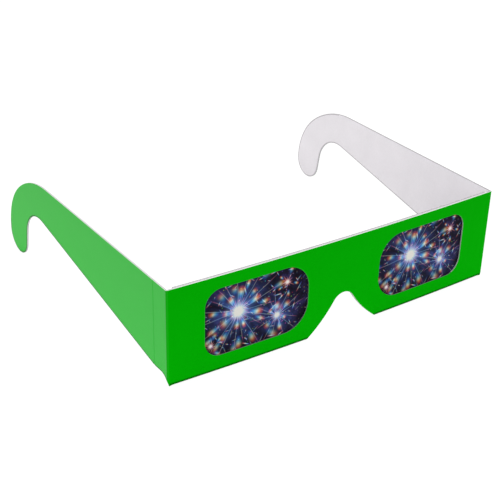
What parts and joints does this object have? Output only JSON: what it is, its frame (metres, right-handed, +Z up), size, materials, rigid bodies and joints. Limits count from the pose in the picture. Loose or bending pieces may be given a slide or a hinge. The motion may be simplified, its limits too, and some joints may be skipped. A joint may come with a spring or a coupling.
{
  "type": "diffraction glasses",
  "caption": "Folding paper glasses: a bowed, die-cut board front with film windows and a nose notch, and flat arms that end in round ear hooks.",
  "frame": {"origin": "middle of the bounding box in plan, on the surface that the glasses stand on with both arms open", "axes": "+X across the front to the right as seen from ahead, +Y back along the arms towards the ear hooks, +Z up"},
  "size_m": [0.1482, 0.1254, 0.0384],
  "materials": {
    "printed_board": "matte",
    "arm_board": "matte",
    "diffraction_film": "gloss",
    "glue": "satin"
  },
  "bodies": {
    "front": {"front_panel": "printed_board", "rear_panel": "printed_board", "glue_layer": "glue", "left_film": "diffraction_film", "left_bottom_fold": "printed_board", "left_corner_crease": "printed_board", "right_film": "diffraction_film", "right_bottom_fold": "printed_board", "right_corner_crease": "printed_board"},
    "left_hinge": {"left_hinge_panel": "arm_board", "left_score_crease": "arm_board"},
    "left_temple": {"left_arm": "arm_board"},
    "right_hinge": {"right_hinge_panel": "arm_board", "right_score_crease": "arm_board"},
    "right_temple": {"right_arm": "arm_board"}
  },
  "joints": [
    {"name": "left_corner_fold", "type": "hinge", "parent": "front", "child": "left_hinge", "pos_m": [-0.07225, -0.0605, 0], "axis": [0, 0, -1], "range_deg": [-10, 77], "deforming": ["left_corner_crease"]},
    {"name": "left_score_fold", "type": "hinge", "parent": "left_hinge", "child": "left_temple", "pos_m": [-0.07232, -0.0529, 0], "axis": [0, 0, -1], "range_deg": [-3.5, 13.51], "deforming": ["left_score_crease"]},
    {"name": "right_corner_fold", "type": "hinge", "parent": "front", "child": "right_hinge", "pos_m": [0.07225, -0.0605, 0], "axis": [0, 0, 1], "range_deg": [-10, 70], "deforming": ["right_corner_crease"]},
    {"name": "right_score_fold", "type": "hinge", "parent": "right_hinge", "child": "right_temple", "pos_m": [0.07232, -0.0529, 0], "axis": [0, 0, 1], "range_deg": [-3.5, 20.51], "deforming": ["right_score_crease"]}
  ],
  "couplings": [
    {"joint": "left_score_fold", "follows": "left_corner_fold", "ratio": 0.17533},
    {"joint": "right_score_fold", "follows": "right_corner_fold", "ratio": 0.29286}
  ]
}
